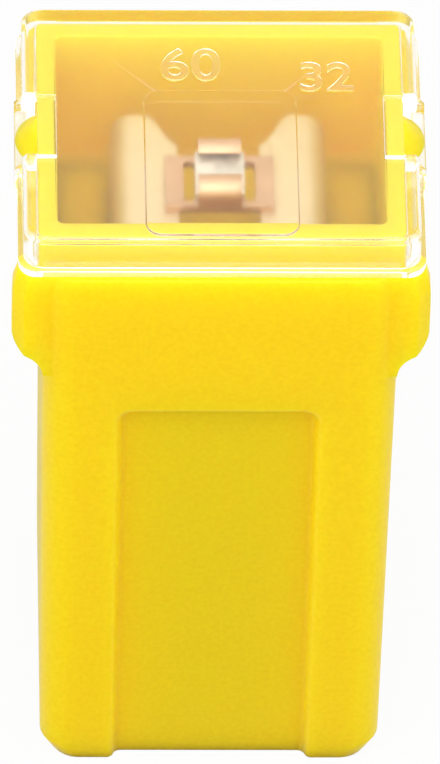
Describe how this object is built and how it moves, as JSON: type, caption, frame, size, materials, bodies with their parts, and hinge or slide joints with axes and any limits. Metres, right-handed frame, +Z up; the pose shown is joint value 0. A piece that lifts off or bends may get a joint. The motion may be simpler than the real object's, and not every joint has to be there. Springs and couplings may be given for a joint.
{
  "type": "cartridge fuse",
  "caption": "Slow-blow cartridge fuse: yellow housing with side lugs, clear clip-on window, and sprung female terminals for blades, joined by a necked link.",
  "frame": {"origin": "centre of the underside, where the blades enter", "axes": "+Z up from the blade entries to the window, X along the line of the two blades, the numbered side of the window towards +Y and the lettering upright from -Y"},
  "size_m": [0.0154, 0.0136, 0.027],
  "materials": {
    "housing_plastic": "satin",
    "window_clear": "polished",
    "tinned_copper_alloy": "satin",
    "spring_steel": "satin",
    "link_copper": "satin",
    "tin": "matte"
  },
  "bodies": {
    "root": {"housing": "housing_plastic", "window_cap": "window_clear", "left_terminal": "tinned_copper_alloy", "right_terminal": "tinned_copper_alloy", "left_spring_clip": "spring_steel", "right_spring_clip": "spring_steel", "fusible_link": "link_copper", "tin_slug": "tin"}
  },
  "joints": []
}
